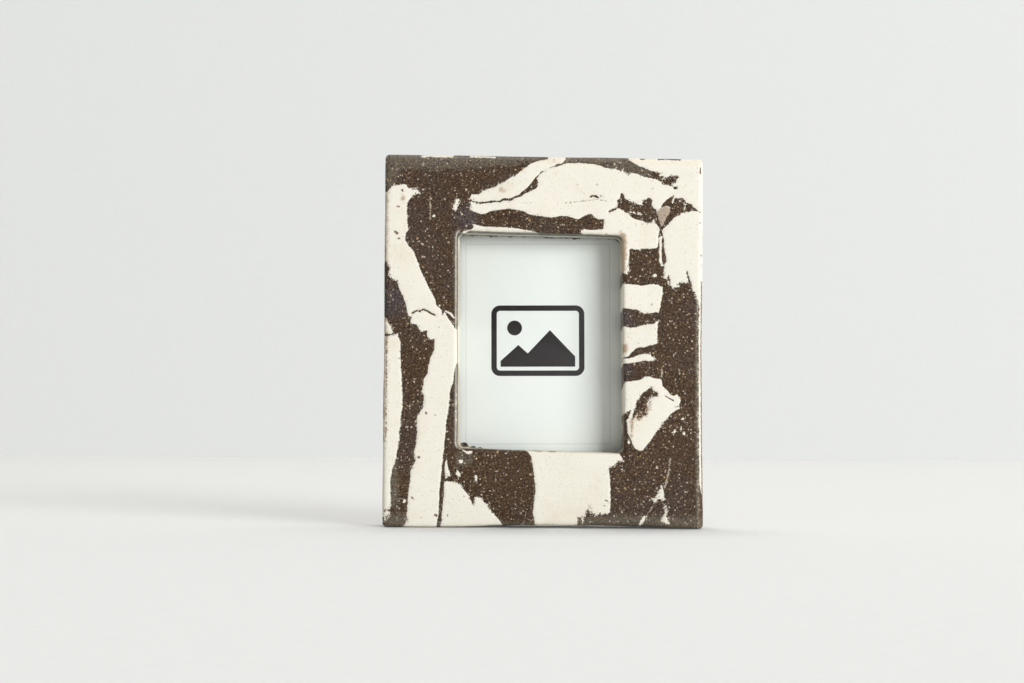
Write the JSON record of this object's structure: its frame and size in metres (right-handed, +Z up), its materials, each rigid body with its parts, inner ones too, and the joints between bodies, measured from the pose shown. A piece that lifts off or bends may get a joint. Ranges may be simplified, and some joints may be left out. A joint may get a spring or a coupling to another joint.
{
  "type": "photo frame",
  "caption": "Small slab-built ceramic photo frame in marbled cream and dark clay, loaded from behind with pane, print and board, closed by brass turn buttons.",
  "frame": {"origin": "middle of the outer box, at the level of the two feet of the base", "axes": "+Z up, front face towards -Y, +X to the right as seen from the front"},
  "size_m": [0.0982, 0.0172, 0.1146],
  "materials": {
    "marbled_clay": "cream and dark brown stoneware wedged together, speckled, satin",
    "clear_pane": "clear, polished",
    "print_card": "satin photo card",
    "plywood": "sanded plywood with browned edges",
    "brass": "brushed",
    "screw_brass": "turned",
    "nylon": "moulded, satin",
    "insert_brass": "turned",
    "pad_rubber": "soft, matt"
  },
  "bodies": {
    "frame": {"ceramic_frame": "marbled_clay", "glazing_pane": "clear_pane", "photo_print": "print_card", "backing_board": "plywood", "pivot_screw_upper_left": "screw_brass", "pivot_screw_upper_right": "screw_brass", "pivot_screw_lower_left": "screw_brass", "pivot_screw_lower_right": "screw_brass", "pivot_washer_upper_left": "nylon", "pivot_washer_upper_right": "nylon", "pivot_washer_lower_left": "nylon", "pivot_washer_lower_right": "nylon", "threaded_insert_upper_left": "insert_brass", "threaded_insert_upper_right": "insert_brass", "threaded_insert_lower_left": "insert_brass", "threaded_insert_lower_right": "insert_brass", "bumper_pad_upper_left": "pad_rubber", "bumper_pad_upper_right": "pad_rubber", "bumper_pad_lower_left": "pad_rubber", "bumper_pad_lower_right": "pad_rubber"},
    "button_upper_left": {"turn_button_upper_left": "brass"},
    "button_upper_right": {"turn_button_upper_right": "brass"},
    "button_lower_left": {"turn_button_lower_left": "brass"},
    "button_lower_right": {"turn_button_lower_right": "brass"}
  },
  "joints": [
    {"name": "upper_left_turn", "type": "hinge", "parent": "frame", "child": "button_upper_left", "pos_m": [-0.0351, 0.00595, 0.0726], "axis": [0, 1, 0], "continuous": true},
    {"name": "upper_right_turn", "type": "hinge", "parent": "frame", "child": "button_upper_right", "pos_m": [0.0333, 0.00595, 0.0726], "axis": [0, 1, 0], "continuous": true},
    {"name": "lower_left_turn", "type": "hinge", "parent": "frame", "child": "button_lower_left", "pos_m": [-0.0351, 0.00595, 0.0306], "axis": [0, 1, 0], "continuous": true},
    {"name": "lower_right_turn", "type": "hinge", "parent": "frame", "child": "button_lower_right", "pos_m": [0.0333, 0.00595, 0.0306], "axis": [0, 1, 0], "continuous": true}
  ]
}
